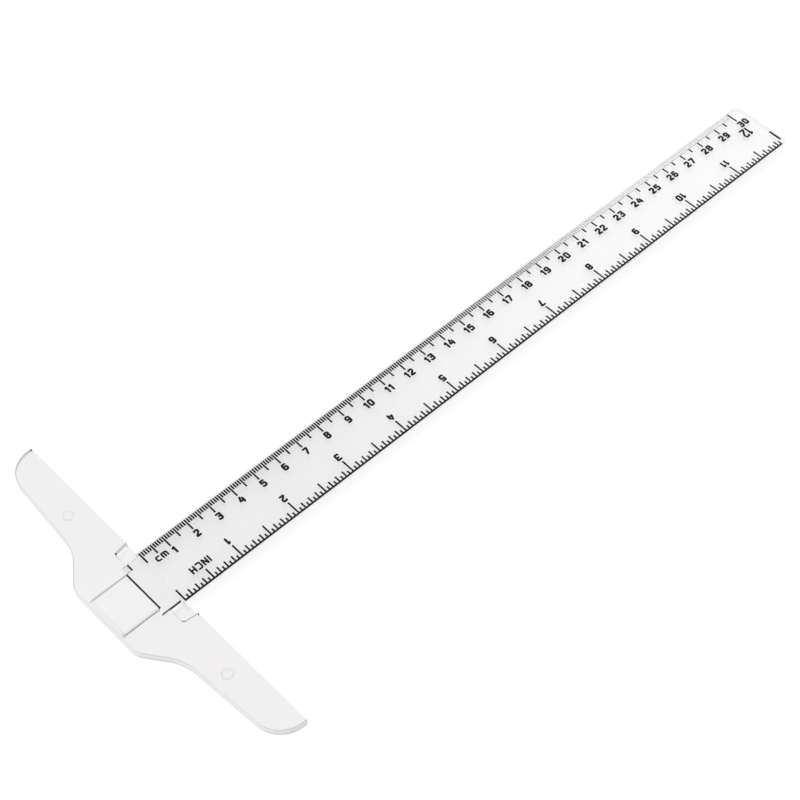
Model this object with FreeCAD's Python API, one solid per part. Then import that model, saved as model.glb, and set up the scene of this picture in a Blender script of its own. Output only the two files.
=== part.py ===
import FreeCAD, Part
import math
import os

# T-square of clear moulded plastic: a 151 mm head and a 30 cm / 12 in blade whose root plugs into it.
# Millimetres. X runs from the head's guide edge (x = 0, also the zero of both scales) to the blade's tip,
# Y is across the blade with the centimetre edge at +Y, and Z is up. z = 0 is the blade's underside,
# the surface that lies on the paper.

# Head
HEAD_LENGTH = 151.0
HEAD_THICKNESS = 3.0
GUIDE_LIP = 1.2             # how far the head reaches below the blade, to catch the board's edge
HUB_DEPTH = 25.1            # front to back in the middle
WING_ROOT_DEPTH = 15.2
WING_ROOT_Y = 30.4          # where the hub's flank meets the wing
WING_TIP_DEPTH = 11.9
HUB_HALF_WIDTH = 17.0
HUB_CORNER_RADIUS = 8.0
WING_ROOT_RADIUS = 20.0
WING_TIP_RADIUS = 11.5
SHARP_CORNER_RADIUS = 0.4
RIM_CHAMFER = 0.3

# Recess in the middle of the guide edge, open at the top, and the ledge left under it
RECESS_DEPTH = 6.0
RECESS_HALF_WIDTH = 18.8
RECESS_MOUTH_HALF_WIDTH = 19.6
RECESS_CORNER_RADIUS = 1.2
LEDGE_SETBACK = 0.3

# Circular marks of the ejector pins, in the underside of the wings, with sloping rims
EJECTOR_MARK_DIAMETER = 4.4
EJECTOR_MARK_FLOOR_DIAMETER = 3.4
EJECTOR_MARK_DEPTH = 0.3
EJECTOR_MARK_X = -7.5
EJECTOR_MARK_Y = 43.8

# Blade
BLADE_TIP_X = 306.0
BLADE_WIDTH = 27.0
BLADE_THICKNESS = 1.8
BLADE_TIP_RADIUS = 2.5
INKING_CHAMFER = 0.8        # lifts the blade's lower edges off the paper

# Root of the blade. A plug of full thickness lies in the head, with a thin tongue behind it. Beside the
# plug are a key on the inch side, so that the blade goes in face up only, and a short neck on the
# centimetre side with a thin flange behind it, which catches under the head's top skin.
BODY_START_X = -0.15        # the full thickness reaches down to the paper from here on
SHOULDER_X = -1.2
PLUG_HALF_WIDTH = 9.3
PLUG_END_X = -8.45
KEY_HALF_WIDTH = 11.6
KEY_END_X = -9.3
NECK_HALF_WIDTH = 12.3
NECK_END_X = -5.85
FLANGE_END_X = -7.6
STEP_RAMP = 0.5             # how far the end of each full-thickness step leans back
TONGUE_END_X = -24.0
TONGUE_BOTTOM = 0.3
TONGUE_THICKNESS = 0.8
TONGUE_BEVEL = 1.1          # width of the bevel along the tongue's edge on the inch side
TONGUE_BEVEL_FOOT = 0.1     # height left under it

# Window over the tongue; the tongue's tip reaches on under the skin behind it
WINDOW_END_X = -23.05

# Running clearances of the root in the head
SIDE_CLEARANCE = 0.12
END_CLEARANCE = 0.15
FACE_CLEARANCE = 0.05
CUT_OVERLAP = 1.0           # how far a cut runs on past the opening it makes

# Printed scales, as thin ink on the blade's top face
INK_THICKNESS = 0.05
LINE_WIDTH = 0.67
LETTER_STROKE = 0.85
WORD_STROKE = 0.7
NUMERAL_HEIGHT = 3.3
NUMERAL_WIDTH = 2.2
NUMERAL_GAP = 0.4
CM_TICK_START_Y = 13.0
CM_LENGTH = 300
CM_TICK, CM_HALF_TICK, MM_TICK = 5.2, 4.4, 2.2
CM_NUMERAL_BASE_Y = 3.9
LAST_CM_NUMERAL_SHIFT = 1.2
INCH = 25.4
LAST_INCH = 12
SIXTEENTHS = 16
INCH_BASE_LINE_Y = -13.2
INCH_BASE_LINE_WIDTH = 0.75
INCH_TICKS = {16: 6.4, 8: 5.2, 4: 3.2, 2: 3.2, 1: 2.1}   # length by sixteenths of an inch
INCH_ZERO_TICK = 5.8
INCH_NUMERAL_BASE_Y = -2.75
LAST_INCH_TICK = (-10.9, -5.0)
LAST_INCH_TICK_WIDTH = 0.9

# Text beside the rows of numerals: its middle's x, its foot's y, and the height and width of a letter
CM_LABEL = (5.2, 5.35, 3.5, 2.0)
INCH_LABEL = (12.5, -3.75, 3.2, 2.2)
LAST_INCH_NUMERAL = (298.1, 3.5, 4.8, 2.5)

TOP = BLADE_THICKNESS
HEAD_BOTTOM = TOP - HEAD_THICKNESS
LEDGE_TOP = TONGUE_BOTTOM - FACE_CLEARANCE
TONGUE_TOP = TONGUE_BOTTOM + TONGUE_THICKNESS
HALF_HEAD = HEAD_LENGTH / 2
HALF_BLADE = BLADE_WIDTH / 2

# Letters as pen strokes on a grid two units wide (three for m) and three units high
LETTERS = {
    "0": [[(0, .4), (0, 2.6), (.4, 3), (1.6, 3), (2, 2.6), (2, .4), (1.6, 0), (.4, 0), (0, .4)]],
    "1": [[(.1, 2.5), (.9, 3), (.9, 0)]],
    "2": [[(0, 2.6), (.3, 3), (1.7, 3), (2, 2.7), (2, 1.9), (0, .3), (0, 0), (2, 0)]],
    "3": [[(0, 3), (2, 3), (2, 1.9), (1.6, 1.6), (2, 1.3), (2, .3), (1.7, 0), (.3, 0), (0, .3)],
          [(.7, 1.6), (1.6, 1.6)]],
    "4": [[(1, 3), (0, .9), (2.2, .9)], [(2, 2.2), (2, 0)]],
    "5": [[(1.9, 3), (.1, 3), (0, 1.7), (1.6, 1.8), (2, 1.4), (2, .4), (1.6, 0), (.3, 0), (0, .3)]],
    "6": [[(1.9, 3), (.4, 3), (0, 2.6), (0, .4), (.4, 0), (1.6, 0), (2, .4), (2, 1.4), (1.7, 1.7),
           (0, 1.7)]],
    "7": [[(0, 3), (2, 3), (2, 2.6), (.8, 0)]],
    "8": [[(.3, 1.6), (0, 2), (0, 2.7), (.3, 3), (1.7, 3), (2, 2.7), (2, 2), (1.7, 1.6), (.3, 1.6),
           (0, 1.2), (0, .3), (.3, 0), (1.7, 0), (2, .3), (2, 1.2), (1.7, 1.6)]],
    "9": [[(.1, 0), (1.6, 0), (2, .4), (2, 2.6), (1.6, 3), (.4, 3), (0, 2.6), (0, 1.6), (.3, 1.3),
           (2, 1.3)]],
    "c": [[(2, 1.9), (.4, 1.9), (0, 1.5), (0, .4), (.4, 0), (2, 0)]],
    "m": [[(0, 0), (0, 1.9), (2.6, 1.9), (3, 1.5), (3, 0)], [(1.5, 1.9), (1.5, 0)]],
    "I": [[(0, 0), (0, 3)]],
    "N": [[(0, 0), (0, 3), (2, 0), (2, 3)]],
    "C": [[(2, 3), (.4, 3), (0, 2.6), (0, .4), (.4, 0), (2, 0)]],
    "H": [[(0, 0), (0, 3)], [(2, 0), (2, 3)], [(0, 1.5), (2, 1.5)]],
}
GRID_WIDTH, GRID_HEIGHT = 2, 3


def rounded_outline(corners):
    """Closed wire at z = 0 through corners (x, y, radius), each rounded unless its radius is 0."""
    points = [FreeCAD.Vector(x, y, 0) for x, y, _ in corners]
    edges = []
    ends = []
    for i, (_, _, radius) in enumerate(corners):
        here, before, after = points[i], points[i - 1], points[(i + 1) % len(points)]
        to_before = (before - here).normalize()
        to_after = (after - here).normalize()
        half_angle = to_before.getAngle(to_after) / 2
        bisector = (to_before + to_after).normalize()
        start = here + to_before * (radius / math.tan(half_angle))
        end = here + to_after * (radius / math.tan(half_angle))
        middle = here + bisector * (radius / math.sin(half_angle) - radius)
        if radius:
            edges.append(Part.Arc(start, middle, end).toShape())
        ends.append((start, end))
    for i, (_, end) in enumerate(ends):
        next_start = ends[(i + 1) % len(ends)][0]
        if end.distanceToPoint(next_start) > 1e-6:
            edges.append(Part.LineSegment(end, next_start).toShape())
    return Part.Wire(Part.__sortEdges__(edges))


def rounded_plate(corners, bottom, top):
    plate = Part.Face(rounded_outline(corners)).extrude(FreeCAD.Vector(0, 0, top - bottom))
    plate.translate(FreeCAD.Vector(0, 0, bottom))
    return plate


def with_mirror(half):
    """The corners of an outline that is symmetric about the X axis, from those of its +Y half."""
    return half + [(x, -y, radius) for x, y, radius in reversed(half)]


def box(x_from, x_to, y_from, y_to, z_from, z_to):
    return Part.makeBox(x_to - x_from, y_to - y_from, z_to - z_from, FreeCAD.Vector(x_from, y_from, z_from))


def edges_at_height(shape, z):
    return [edge for edge in shape.Edges if all(abs(vertex.Z - z) < 1e-6 for vertex in edge.Vertexes)]


def head_outline(front_corners):
    """The head from above: the front corners of its +Y half, then the wing and the hub."""
    return with_mirror(front_corners + [
        (0, HALF_HEAD, SHARP_CORNER_RADIUS),
        (-WING_TIP_DEPTH, HALF_HEAD, WING_TIP_RADIUS),
        (-WING_ROOT_DEPTH, WING_ROOT_Y, WING_ROOT_RADIUS),
        (-HUB_DEPTH, HUB_HALF_WIDTH, HUB_CORNER_RADIUS),
    ])


def make_head():
    lower = rounded_plate(head_outline([
        (-LEDGE_SETBACK, RECESS_MOUTH_HALF_WIDTH, 0),
        (0, RECESS_MOUTH_HALF_WIDTH, 0),
    ]), HEAD_BOTTOM, LEDGE_TOP)
    upper = rounded_plate(head_outline([
        (-RECESS_DEPTH, RECESS_HALF_WIDTH, RECESS_CORNER_RADIUS),
        (0, RECESS_MOUTH_HALF_WIDTH, SHARP_CORNER_RADIUS),
    ]), LEDGE_TOP, TOP)
    upper = upper.makeChamfer(RIM_CHAMFER, edges_at_height(upper, TOP))
    head = lower.fuse(upper).removeSplitter()

    # Window for the plug and tongue, slot for the key, and pockets for the tongue's tip and the flange
    mouth = -RECESS_DEPTH + CUT_OVERLAP
    open_top = TOP + CUT_OVERLAP
    half_window = PLUG_HALF_WIDTH + SIDE_CLEARANCE
    pocket_top = TONGUE_TOP + FACE_CLEARANCE
    head = head.cut([
        box(WINDOW_END_X, mouth, -half_window, half_window, LEDGE_TOP, open_top),
        box(KEY_END_X - END_CLEARANCE, mouth, -KEY_HALF_WIDTH - SIDE_CLEARANCE, 0, LEDGE_TOP, open_top),
        box(TONGUE_END_X - END_CLEARANCE, mouth, -half_window, half_window, LEDGE_TOP, pocket_top),
        box(FLANGE_END_X - END_CLEARANCE, mouth, 0, NECK_HALF_WIDTH + SIDE_CLEARANCE, LEDGE_TOP, pocket_top),
    ])

    for side in (-1, 1):
        mark = Part.makeCone(EJECTOR_MARK_DIAMETER / 2, EJECTOR_MARK_FLOOR_DIAMETER / 2, EJECTOR_MARK_DEPTH,
                             FreeCAD.Vector(EJECTOR_MARK_X, side * EJECTOR_MARK_Y, HEAD_BOTTOM))
        head = head.cut(mark)
    return head


def step(end_x, y_from, y_to):
    """A full-thickness step of the blade's root, with its end face leaning back above the tongue."""
    side = [(end_x, TONGUE_BOTTOM), (end_x, TONGUE_TOP), (end_x + STEP_RAMP, TOP),
            (0, TOP), (0, TONGUE_BOTTOM)]
    outline = Part.makePolygon([FreeCAD.Vector(x, y_from, z) for x, z in side + side[:1]])
    return Part.Face(outline).extrude(FreeCAD.Vector(0, y_to - y_from, 0))


def bar(section, x_from, x_to):
    """A straight bar along X with the given section, a list of (y, z)."""
    outline = Part.makePolygon([FreeCAD.Vector(x_from, y, z) for y, z in section + section[:1]])
    return Part.Face(outline).extrude(FreeCAD.Vector(x_to - x_from, 0, 0))


def make_blade():
    body = rounded_plate(with_mirror([
        (BLADE_TIP_X, HALF_BLADE, BLADE_TIP_RADIUS),
        (BODY_START_X, HALF_BLADE, 0),
    ]), 0, TOP)
    shoulder = box(SHOULDER_X, 0, -HALF_BLADE, HALF_BLADE, TONGUE_BOTTOM, TOP)
    foot = HALF_BLADE - INKING_CHAMFER
    chamfered = bar([(-foot, 0), (foot, 0), (HALF_BLADE, INKING_CHAMFER), (HALF_BLADE, TOP),
                     (-HALF_BLADE, TOP), (-HALF_BLADE, INKING_CHAMFER)], SHOULDER_X, BLADE_TIP_X)
    strip = body.fuse(shoulder).common(chamfered)
    tongue = bar([(-PLUG_HALF_WIDTH, TONGUE_BOTTOM), (PLUG_HALF_WIDTH, TONGUE_BOTTOM),
                  (PLUG_HALF_WIDTH, TONGUE_TOP), (TONGUE_BEVEL - PLUG_HALF_WIDTH, TONGUE_TOP),
                  (-PLUG_HALF_WIDTH, TONGUE_BOTTOM + TONGUE_BEVEL_FOOT)], TONGUE_END_X, 0)
    root = [
        step(PLUG_END_X, -PLUG_HALF_WIDTH, PLUG_HALF_WIDTH),
        step(KEY_END_X, -KEY_HALF_WIDTH, -PLUG_HALF_WIDTH),
        step(NECK_END_X, PLUG_HALF_WIDTH, NECK_HALF_WIDTH),
        box(FLANGE_END_X, 0, PLUG_HALF_WIDTH, NECK_HALF_WIDTH, TONGUE_BOTTOM, TONGUE_TOP),
    ]
    return strip.fuse(root + [tongue]).removeSplitter()


def ink(x_from, x_to, y_from, y_to):
    return box(x_from, x_to, y_from, y_to, TOP, TOP + INK_THICKNESS)


def tick(x, y_from, y_to, width=LINE_WIDTH):
    return ink(x - width / 2, x + width / 2, y_from, y_to)


def make_cm_graduations():
    ticks = []
    for millimetre in range(CM_LENGTH + 1):
        length = MM_TICK
        if millimetre % 5 == 0:
            length = CM_HALF_TICK
        if millimetre % 10 == 0:
            length = CM_TICK
        ticks.append(tick(millimetre, CM_TICK_START_Y - length, CM_TICK_START_Y))
    return Part.makeCompound(ticks)


def make_inch_graduations():
    """A comb: one base line with sixteenths of an inch on it, and the last inch as a free tick."""
    base_top = INCH_BASE_LINE_Y + INCH_BASE_LINE_WIDTH
    outline = [(-LINE_WIDTH / 2, INCH_BASE_LINE_Y)]
    for sixteenth in range(LAST_INCH * SIXTEENTHS):
        length = INCH_ZERO_TICK
        if sixteenth:
            length = next(INCH_TICKS[spacing] for spacing in INCH_TICKS if sixteenth % spacing == 0)
        x = sixteenth * INCH / SIXTEENTHS
        left, right = x - LINE_WIDTH / 2, x + LINE_WIDTH / 2
        tip = INCH_BASE_LINE_Y + length
        if sixteenth:
            outline.append((left, base_top))
        outline += [(left, tip), (right, tip), (right, base_top)]
    outline[-1] = (outline[-1][0], INCH_BASE_LINE_Y)
    comb = Part.makePolygon([FreeCAD.Vector(x, y, TOP) for x, y in outline + outline[:1]])
    last = tick(LAST_INCH * INCH, *LAST_INCH_TICK, LAST_INCH_TICK_WIDTH)
    return Part.makeCompound([Part.Face(comb).extrude(FreeCAD.Vector(0, 0, INK_THICKNESS)), last])


def pen_bar(start, end, width):
    """A straight pen stroke with eight-sided ends."""
    direction = end - start
    across = FreeCAD.Vector(-direction.y, direction.x, 0).normalize() * (width / 2)
    corners = [start + across, end + across, end - across, start - across, start + across]
    stroke = Part.Face(Part.makePolygon(corners)).extrude(FreeCAD.Vector(0, 0, INK_THICKNESS))
    dots = []
    for centre in (start, end):
        ring = [centre + FreeCAD.Vector(math.cos(angle), math.sin(angle), 0) * (width / 2)
                for angle in (math.radians(45 * k) for k in range(9))]
        dots.append(Part.Face(Part.makePolygon(ring)).extrude(FreeCAD.Vector(0, 0, INK_THICKNESS)))
    return stroke.fuse(dots)


def make_letter(letter, height, width, stroke_width):
    unit_x = (width - stroke_width) / GRID_WIDTH
    unit_y = (height - stroke_width) / GRID_HEIGHT
    bars = []
    for stroke in LETTERS[letter]:
        points = [FreeCAD.Vector(x * unit_x, y * unit_y, 0) for x, y in stroke]
        bars += [pen_bar(start, end, stroke_width) for start, end in zip(points, points[1:])]
    return bars[0].multiFuse(bars[1:]).removeSplitter().Solids[0]


def write(text, centre_x, base_y, height=NUMERAL_HEIGHT, width=NUMERAL_WIDTH,
          stroke_width=LETTER_STROKE, upside_down=False):
    """Text centred on centre_x with its foot on base_y; upside_down turns it half a turn."""
    letters = []
    pen_x = 0.0
    for letter in text:
        solid = make_letter(letter, height, width, stroke_width)
        shift = pen_x - solid.BoundBox.XMin
        solid.translate(FreeCAD.Vector(shift, stroke_width / 2, 0))
        pen_x = solid.BoundBox.XMax + NUMERAL_GAP
        letters.append(solid)
    line = Part.makeCompound(letters)
    line.translate(FreeCAD.Vector(-line.BoundBox.Center.x, 0, 0))
    if upside_down:
        line.rotate(FreeCAD.Vector(0, 0, 0), FreeCAD.Vector(0, 0, 1), 180)
    line.translate(FreeCAD.Vector(centre_x, base_y, TOP))
    return line.Solids


def make_cm_numerals():
    solids = write("cm", *CM_LABEL, stroke_width=WORD_STROKE)
    last = CM_LENGTH // 10
    for centimetre in range(1, last):
        solids += write(str(centimetre), centimetre * 10, CM_NUMERAL_BASE_Y)
    solids += write(str(last), CM_LENGTH + LAST_CM_NUMERAL_SHIFT, CM_NUMERAL_BASE_Y)
    return Part.makeCompound(solids)


def make_inch_numerals():
    solids = write("INCH", *INCH_LABEL, stroke_width=WORD_STROKE, upside_down=True)
    for inch in range(1, LAST_INCH):
        solids += write(str(inch), inch * INCH, INCH_NUMERAL_BASE_Y, upside_down=True)
    solids += write(str(LAST_INCH), *LAST_INCH_NUMERAL, upside_down=True)
    return Part.makeCompound(solids)


os.makedirs("parts", exist_ok=True)
pieces = {
    "head": make_head(),
    "blade": make_blade(),
    "cm_graduations": make_cm_graduations(),
    "cm_numerals": make_cm_numerals(),
    "inch_graduations": make_inch_graduations(),
    "inch_numerals": make_inch_numerals(),
}
for name, shape in pieces.items():
    shape.exportStep(f"parts/{name}.step")
    print(name, "solids", len(shape.Solids), "valid", shape.isValid(), "volume", round(shape.Volume, 2))
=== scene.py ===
import math

import bpy
from mathutils import Matrix, Vector


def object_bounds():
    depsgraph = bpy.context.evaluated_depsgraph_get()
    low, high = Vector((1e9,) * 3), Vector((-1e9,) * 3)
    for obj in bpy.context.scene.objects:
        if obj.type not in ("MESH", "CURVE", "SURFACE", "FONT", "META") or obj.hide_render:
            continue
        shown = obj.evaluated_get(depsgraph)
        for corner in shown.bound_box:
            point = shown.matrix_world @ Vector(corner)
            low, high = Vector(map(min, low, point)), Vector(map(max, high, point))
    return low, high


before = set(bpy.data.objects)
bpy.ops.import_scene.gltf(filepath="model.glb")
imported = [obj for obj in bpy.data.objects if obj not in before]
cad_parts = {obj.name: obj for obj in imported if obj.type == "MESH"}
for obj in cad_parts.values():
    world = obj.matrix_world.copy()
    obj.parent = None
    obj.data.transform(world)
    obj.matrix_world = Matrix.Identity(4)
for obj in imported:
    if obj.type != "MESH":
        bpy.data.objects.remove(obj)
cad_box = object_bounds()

MM = 0.001
BOTTOM = cad_box[0][2]

# The camera's place, as seen from the point of the blade that it looks at
CAMERA_TARGET = Vector((109.2, -1.0, 1.8)) * MM
CAMERA_DISTANCE = 736.7 * MM
CAMERA_AZIMUTH = math.radians(-39.57)
CAMERA_ELEVATION = math.radians(52.69)
CAMERA_ROLL = math.radians(-3.79)
CAMERA_LENS = 91.84

# Clear plastic. Pairs of wall tones, painted shade, are for side walls that face along the blade, and across
# it.
PLASTIC_IOR = 1.5
CLEAR = (0.995, 0.995, 0.995, 1)
WHITE = (1, 1, 1, 1)
HEAD_TINTS = (0.735, 0.707, 0.721, 1), (0.74, 0.725, 0.728, 1)
HEAD_WALL_TONES = (0.86, 0.66)
GUIDE_EDGE_TONES = (0.97, 0.97)
HEAD_CUT_TONES = (0.97, 0.5)
BLADE_TINTS = (0.7, 0.674, 0.687, 1), (0.705, 0.69, 0.693, 1)
BLADE_WALL_TONES = (0.97, 0.97)
BEVEL_TONES = (0.97, 0.6)
MARK_TONES = (0.835, 0.835)
WALL_OPENNESS = 0.92        # share of the light that goes straight through a side wall
# Painted shade on the head's outer walls: darker near the foot, and a little near the rim
FOOT_HEIGHTS = (-0.8 * MM, -0.4 * MM)
RIM_HEIGHTS = (1.3 * MM, 1.5 * MM)
FOOT_AND_RIM_TONES = (0.7, 0.85)        # of the head's outer walls, against the wall between them
SKIN_HEIGHTS = (-1.1 * MM, 1.8 * MM)    # an upper surface's tint grows from none to full between these
CONTACT_HEIGHTS = (0.2 * MM, 0.35 * MM)     # the blade's root lies on the head's ledge between these
ROOT_HALF_WIDTH = 12.4 * MM
WINDOW_END_X = -23.05 * MM  # behind this the tongue's tip is tucked in under the head's skin
SKIN_UNDERSIDE = 1.14 * MM
FLAT_SLOPE = 0.9            # upward part of the normal from which a surface counts as flat
TRAPPED = 0.9               # mirrored share from which light would never leave the plastic
CLOUD_SCALE = 45.0
RIPPLE_STRENGTH = 0.02
RIPPLE_DEPTH = 0.2 * MM
STREAK_SCALE = 300.0
STREAK_STRETCH = (0.08, 1.0, 1.0)
PLASTIC_ROUGHNESS = (0.015, 0.05)

# Milled walls and tight corners, painted near-black as shade
PAINTED_SHADE_TONES = (0.006, 0.02)
MILLED_ROUGHNESS = 0.6
GROOVE_SCALE = 2500.0
GROOVE_STRETCH = (1.0, 1.0, 0.1)
GROOVE_STRENGTH = 0.3
GROOVE_DEPTH = 0.05 * MM

# Walls with a material of their own, as boxes (x from, x to, y from, y to) in mm
HEAD_CUTS = ((-24.2, 0.1, -12.5, 12.5), (-6.1, 0.1, -20.0, 20.0))
GUIDE_EDGE = ((-0.5, 0.1, -75.0, -20.0), (-0.5, 0.1, 20.0, 75.0))
TONGUE_BEVEL = ((-24.2, -8.0, -9.4, -8.1),)
EJECTOR_MARKS = ((-10.0, -5.0, 41.0, 46.5), (-10.0, -5.0, -46.5, -41.0))
# Painted near-black as shade: the milled plug's end, neck's end, and key's side with the slot's wall beside
# it, then tight moulded corners of the recess and of a wing's tip, where the plastic lets no light out
SHADE_PAINTED_WALLS = (
    (-8.5, -8.0, -9.4, 9.4), (-5.9, -5.4, 9.2, 12.4), (-9.4, -1.0, -11.8, -11.5),
    (-6.1, -5.0, 17.4, 18.9), (-6.1, -5.0, -18.9, -17.4),
    (-0.5, 0.1, -19.9, -19.2), (-0.5, 0.1, 75.0, 75.6),
)

# Ink. Some light passes it to the floor, which keeps its shadow as faint as on a bright table.
INK_TONES = (0.002, 0.006)
INK_ROUGHNESS = (0.5, 0.7)
INK_SHINE = 0.2
INK_LIT_THROUGH = 0.8
SPECKLE_SCALE = 1500.0

# Where the millimetre ticks fade: along the blade, and outward across it
FADE_ALONG = (80 * MM, 240 * MM)
FADE_OUTWARD = (10.6 * MM, 11.1 * MM)
FADE_MOST = 0.92
LAST_TICK_X = 299.5 * MM

# Room
FLOOR_TONES = (0.925, 0.935)
FLOOR_ROUGHNESS = 0.9
GRAIN_SCALE = 400.0
FLOOR_HALF = 3.0
FLOOR_GAP = 0.02 * MM
ROOM_COLOUR = (1, 1, 1, 1)
ROOM_STRENGTH = 1.06
HORIZON_STRENGTH = 0.75
HORIZON_TOP = 0.6           # upward part of the direction where the horizon has risen to the room
GLOW_DIRECTION = Vector((0.65, 0.4, 0.65)).normalized()
GLOW_COSINES = (0.925, 0.995)
GLOW_STRENGTH = 1.35


def add_camera():
    camera_data = bpy.data.cameras.new("camera")
    camera_data.lens = CAMERA_LENS
    camera_data.sensor_width = 36.0
    camera_data.clip_start = 10 * MM
    camera = bpy.data.objects.new("camera", camera_data)
    bpy.context.scene.collection.objects.link(camera)
    away = Vector((
        math.sin(CAMERA_AZIMUTH) * math.cos(CAMERA_ELEVATION),
        -math.cos(CAMERA_AZIMUTH) * math.cos(CAMERA_ELEVATION),
        math.sin(CAMERA_ELEVATION),
    ))
    turn = away.to_track_quat("Z", "Y").to_matrix().to_4x4() @ Matrix.Rotation(CAMERA_ROLL, 4, "Z")
    camera.matrix_world = Matrix.Translation(CAMERA_TARGET + away * CAMERA_DISTANCE) @ turn
    bpy.context.scene.camera = camera


class Nodes:
    """The node tree of a new material or of the world, with short calls to add and join nodes."""

    def __init__(self, name, world=False):
        if world:
            owner = bpy.context.scene.world = bpy.data.worlds.new(name)
        else:
            owner = self.material = bpy.data.materials.new(name)
        owner.use_nodes = True
        self.tree = owner.node_tree
        self.tree.nodes.clear()
        self.output = self.add("ShaderNodeOutputWorld" if world else "ShaderNodeOutputMaterial")

    def add(self, kind, settings=None, **inputs):
        node = self.tree.nodes.new(kind)
        for name, value in (settings or {}).items():
            setattr(node, name, value)
        for name, value in inputs.items():
            self.set(node.inputs[name.replace("_", " ")], value)
        return node

    def set(self, socket, value):
        if isinstance(value, bpy.types.NodeSocket):
            self.tree.links.new(value, socket)
        else:
            socket.default_value = value

    def math(self, operation, a, b=0.0):
        node = self.add("ShaderNodeMath", {"operation": operation})
        self.set(node.inputs[0], a)
        self.set(node.inputs[1], b)
        return node.outputs[0]

    def spread(self, value, from_low, from_high, to_low, to_high, smooth=False):
        """The value with one range mapped onto another, held at the ends."""
        kind = "SMOOTHSTEP" if smooth else "LINEAR"
        node = self.add("ShaderNodeMapRange", {"interpolation_type": kind, "clamp": True})
        for socket, number in zip(node.inputs[:5], (value, from_low, from_high, to_low, to_high)):
            self.set(socket, number)
        return node.outputs[0]

    def mix(self, factor, a, b):
        node = self.add("ShaderNodeMix", {"data_type": "RGBA"})
        self.set(node.inputs["Factor"], factor)
        self.set(next(s for s in node.inputs if s.name == "A" and s.type == "RGBA"), a)
        self.set(next(s for s in node.inputs if s.name == "B" and s.type == "RGBA"), b)
        return next(s for s in node.outputs if s.type == "RGBA")

    def to_lamps(self):
        """1 for the rays that carry light from the room to a surface, 0 for the others."""
        path = self.add("ShaderNodeLightPath")
        return self.math("MAXIMUM", path.outputs["Is Shadow Ray"], path.outputs["Is Diffuse Ray"])

    def join(self, factor, first, second):
        """The material's surface: the first shader at factor 0, the second at 1."""
        both = self.add("ShaderNodeMixShader", Fac=factor)
        self.set(both.inputs[1], first.outputs[0])
        self.set(both.inputs[2], second.outputs[0])
        self.set(self.output.inputs["Surface"], both.outputs[0])

    def grey(self, value):
        return self.add("ShaderNodeCombineColor", Red=value, Green=value, Blue=value).outputs[0]

    def stretch(self, vector, scale):
        return self.add("ShaderNodeMapping", Vector=vector, Scale=scale).outputs[0]


def painted_wall_shade(n, facing, where, wall_tones, foot_and_rim_tones):
    """Painted shade of a side wall, by the way it faces, with tones of its own near its foot and its rim."""
    across = n.math("ABSOLUTE", facing["Y"])
    tone = n.spread(across, 0.0, 1.0, *wall_tones)
    foot = n.spread(where["Z"], *FOOT_HEIGHTS, foot_and_rim_tones[0], 1.0)
    rim = n.spread(where["Z"], *RIM_HEIGHTS, 1.0, foot_and_rim_tones[1])
    return n.grey(n.math("MULTIPLY", tone, n.math("MULTIPLY", foot, rim)))


def flat_tint(n, facing, where, is_contact, is_inner_side, skin_tint):
    """The tint of an upper or lower surface: from above it grows with the thickness of plastic below.

    The inner side of a surface is clear, and so is a surface that another piece covers."""
    from_middle = n.math("ABSOLUTE", where["Y"])
    is_under_root = n.math("MULTIPLY", is_contact, n.math("LESS_THAN", from_middle, ROOT_HALF_WIDTH))
    is_tucked_in = n.math("MULTIPLY", n.math("LESS_THAN", where["X"], WINDOW_END_X),
                          n.math("LESS_THAN", where["Z"], SKIN_UNDERSIDE))
    is_covered = n.math("MAXIMUM", is_under_root, is_tucked_in)
    is_clear = n.math("MAXIMUM", is_inner_side, is_covered)
    from_below = n.math("LESS_THAN", facing["Z"], 0.0)
    thickness = n.math("MAXIMUM", n.spread(where["Z"], *SKIN_HEIGHTS, 0.0, 1.0), from_below)
    return n.mix(n.math("MULTIPLY", thickness, n.math("SUBTRACT", 1.0, is_clear)), CLEAR, skin_tint)


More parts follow.
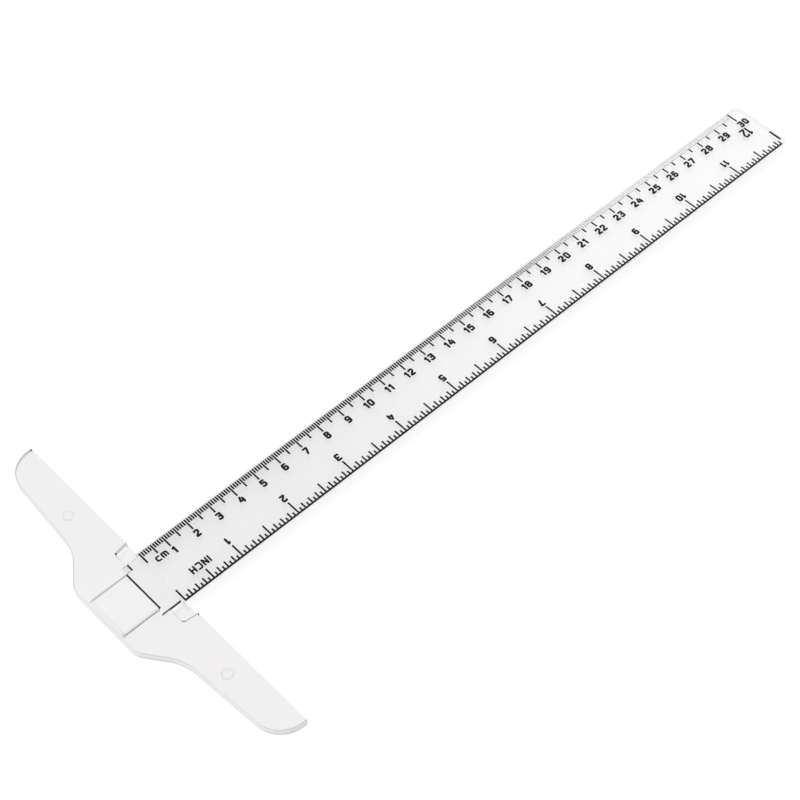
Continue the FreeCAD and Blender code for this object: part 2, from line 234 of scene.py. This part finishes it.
def clear_plastic(name, skin_tints, wall_tones, foot_and_rim_tones=(1.0, 1.0)):
    """Clear moulded plastic, tinted where the eye looks into a flat surface, and painted with shade on a
    side wall.

    Most of the light goes straight through a side wall. All of it goes straight through where the blade's
    root lies on the head, and where it would otherwise be trapped in the plastic. Light from the room to
    the floor passes unchanged, as it does on a bright table."""
    n = Nodes(name)
    place = n.add("ShaderNodeTexCoord").outputs["Object"]
    where = n.add("ShaderNodeSeparateXYZ", Vector=place).outputs
    surface = n.add("ShaderNodeNewGeometry").outputs
    is_inner_side = surface["Backfacing"]
    facing = n.add("ShaderNodeSeparateXYZ", Vector=surface["True Normal"]).outputs
    is_wall = n.math("LESS_THAN", n.math("ABSOLUTE", facing["Z"]), FLAT_SLOPE)
    past_lower, past_upper = (n.math("GREATER_THAN", where["Z"], z) for z in CONTACT_HEIGHTS)
    is_contact_height = n.math("SUBTRACT", past_lower, past_upper)
    is_contact = n.math("MULTIPLY", n.math("SUBTRACT", 1.0, is_wall), is_contact_height)

    cloud = n.add("ShaderNodeTexNoise", Vector=place, Scale=CLOUD_SCALE, Detail=2.0).outputs[0]
    skin_tint = n.mix(n.spread(cloud, 0.4, 0.6, 0.0, 1.0), *skin_tints)
    # Flat surfaces get the plastic's own tint, side walls the painted shade
    tint = n.mix(is_wall, flat_tint(n, facing, where, is_contact, is_inner_side, skin_tint),
                 painted_wall_shade(n, facing, where, wall_tones, foot_and_rim_tones))
    ripple = n.add("ShaderNodeBump", Height=cloud, Strength=RIPPLE_STRENGTH, Distance=RIPPLE_DEPTH)
    along = n.stretch(place, STREAK_STRETCH)
    streaks = n.add("ShaderNodeTexNoise", Vector=along, Scale=STREAK_SCALE, Detail=3.0).outputs[0]
    roughness = n.spread(streaks, 0.35, 0.75, *PLASTIC_ROUGHNESS)
    plastic = n.add("ShaderNodeBsdfPrincipled", Base_Color=tint, IOR=PLASTIC_IOR, Roughness=roughness,
                    Normal=ripple.outputs[0], Transmission_Weight=1.0)

    to_lamps = n.to_lamps()
    straight_through = n.add("ShaderNodeBsdfTransparent", Color=n.mix(to_lamps, tint, WHITE))
    mirrored_share = n.add("ShaderNodeFresnel", IOR=PLASTIC_IOR).outputs[0]
    is_trapped = n.math("MULTIPLY", is_inner_side, n.math("GREATER_THAN", mirrored_share, TRAPPED))
    is_unbent = n.math("MAXIMUM", is_contact, is_trapped)
    open_share = n.math("MAXIMUM", is_unbent, n.math("MULTIPLY", is_wall, WALL_OPENNESS))
    n.join(n.math("MAXIMUM", to_lamps, open_share), plastic, straight_through)
    return n.material


def painted_shade_plastic(name):
    """Milled walls and tight moulded corners: dull, and painted near-black as shade, since no light comes
    out of them.
    """
    n = Nodes(name)
    place = n.add("ShaderNodeTexCoord").outputs["Object"]
    upright = n.stretch(place, GROOVE_STRETCH)
    grooves = n.add("ShaderNodeTexNoise", Vector=upright, Scale=GROOVE_SCALE, Detail=2.0).outputs[0]
    tone = n.spread(grooves, 0.3, 0.7, *PAINTED_SHADE_TONES)
    rough = n.add("ShaderNodeBump", Height=grooves, Strength=GROOVE_STRENGTH, Distance=GROOVE_DEPTH)
    shader = n.add("ShaderNodeBsdfPrincipled", Base_Color=n.grey(tone), Roughness=MILLED_ROUGHNESS,
                   Normal=rough.outputs[0])
    n.join(n.to_lamps(), shader, n.add("ShaderNodeBsdfTransparent"))
    return n.material


def ink(name, fading_edge=False):
    """Black hot-stamped ink, a little uneven; the outer ends of the millimetre ticks fade to clear towards
    the blade's tip.
    """
    n = Nodes(name)
    place = n.add("ShaderNodeTexCoord").outputs["Object"]
    speckle = n.add("ShaderNodeTexNoise", Vector=place, Scale=SPECKLE_SCALE, Detail=2.0).outputs[0]
    tone = n.spread(speckle, 0.3, 0.7, *INK_TONES)
    roughness = n.spread(speckle, 0.3, 0.7, *INK_ROUGHNESS)
    black = n.add("ShaderNodeBsdfPrincipled", Base_Color=n.grey(tone), Roughness=roughness,
                  Specular_IOR_Level=INK_SHINE)
    clear = n.add("ShaderNodeBsdfTransparent")
    lit_through = n.math("MULTIPLY", n.to_lamps(), INK_LIT_THROUGH)
    if not fading_edge:
        n.join(lit_through, black, clear)
        return n.material
    where = n.add("ShaderNodeSeparateXYZ", Vector=place).outputs
    along = n.spread(where["X"], *FADE_ALONG, 0.0, FADE_MOST, smooth=True)
    outward = n.spread(where["Y"], *FADE_OUTWARD, 0.0, 1.0, smooth=True)
    before_last = n.math("LESS_THAN", where["X"], LAST_TICK_X)
    faded = n.math("MULTIPLY", n.math("MULTIPLY", along, outward), before_last)
    n.join(n.math("MAXIMUM", lit_through, faded), black, clear)
    return n.material


def floor_material():
    n = Nodes("pale_floor")
    place = n.add("ShaderNodeTexCoord").outputs["Object"]
    grain = n.add("ShaderNodeTexNoise", Vector=place, Scale=GRAIN_SCALE, Detail=3.0).outputs[0]
    tone = n.spread(grain, 0.3, 0.7, *FLOOR_TONES)
    shader = n.add("ShaderNodeBsdfPrincipled", Base_Color=n.grey(tone), Roughness=FLOOR_ROUGHNESS)
    n.set(n.output.inputs["Surface"], shader.outputs[0])
    return n.material


def add_floor():
    mesh = bpy.data.meshes.new("floor")
    mesh.from_pydata([(-FLOOR_HALF, -FLOOR_HALF, 0), (FLOOR_HALF, -FLOOR_HALF, 0),
                      (FLOOR_HALF, FLOOR_HALF, 0), (-FLOOR_HALF, FLOOR_HALF, 0)], [], [(0, 1, 2, 3)])
    mesh.materials.append(floor_material())
    floor = bpy.data.objects.new("floor", mesh)
    floor.location.z = BOTTOM - FLOOR_GAP
    bpy.context.scene.collection.objects.link(floor)


def add_studio_light():
    """A white room with one large soft glow, high beyond the blade's tip, and a dimmer horizon."""
    n = Nodes("studio", world=True)
    direction = n.add("ShaderNodeTexCoord").outputs["Generated"]
    toward = n.add("ShaderNodeVectorMath", {"operation": "DOT_PRODUCT"})
    n.set(toward.inputs[0], direction)
    n.set(toward.inputs[1], GLOW_DIRECTION)
    glow = n.spread(toward.outputs["Value"], *GLOW_COSINES, 0.0, GLOW_STRENGTH, smooth=True)
    height = n.add("ShaderNodeSeparateXYZ", Vector=direction).outputs["Z"]
    room = n.spread(height, 0.0, HORIZON_TOP, HORIZON_STRENGTH, ROOM_STRENGTH, smooth=True)
    background = n.add("ShaderNodeBackground", Color=ROOM_COLOUR, Strength=n.math("ADD", room, glow))
    n.set(n.output.inputs["Surface"], background.outputs[0])


def paint(node, material):
    """Give a whole node a material."""
    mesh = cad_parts[node].data
    mesh.materials.clear()
    mesh.materials.append(material)


def paint_walls(node, material, boxes):
    """Give a material to the upright and sloping faces of a node that lie in some boxes."""
    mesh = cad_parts[node].data
    mesh.materials.append(material)
    slot = len(mesh.materials) - 1
    for face in mesh.polygons:
        x, y = face.center.x / MM, face.center.y / MM
        is_inside = any(x0 < x < x1 and y0 < y < y1 for x0, x1, y0, y1 in boxes)
        if is_inside and abs(face.normal.z) < FLAT_SLOPE:
            face.material_index = slot


bpy.context.scene.view_settings.view_transform = "Standard"
add_camera()
add_studio_light()
add_floor()
# Side walls carry painted shade; the cuts, the guide edge, the ejector marks and the tongue's bevel have
# shades of their own
paint("head", clear_plastic("head_plastic", HEAD_TINTS, HEAD_WALL_TONES, FOOT_AND_RIM_TONES))
paint_walls("head", clear_plastic("head_cut_plastic", HEAD_TINTS, HEAD_CUT_TONES), HEAD_CUTS)
paint_walls("head", clear_plastic("guide_edge_plastic", HEAD_TINTS, GUIDE_EDGE_TONES), GUIDE_EDGE)
paint_walls("head", clear_plastic("ejector_mark_plastic", HEAD_TINTS, MARK_TONES), EJECTOR_MARKS)
paint("blade", clear_plastic("blade_plastic", BLADE_TINTS, BLADE_WALL_TONES))
paint_walls("blade", clear_plastic("tongue_bevel_plastic", BLADE_TINTS, BEVEL_TONES), TONGUE_BEVEL)
# Near-black painted shade on the milled walls and tight corners of both pieces
shade_painted_plastic = painted_shade_plastic("painted_shade_plastic")
for node in ("head", "blade"):
    paint_walls(node, shade_painted_plastic, SHADE_PAINTED_WALLS)
black_ink = ink("scale_ink")
for node in ("cm_numerals", "inch_graduations", "inch_numerals"):
    paint(node, black_ink)
paint("cm_graduations", ink("fading_scale_ink", fading_edge=True))
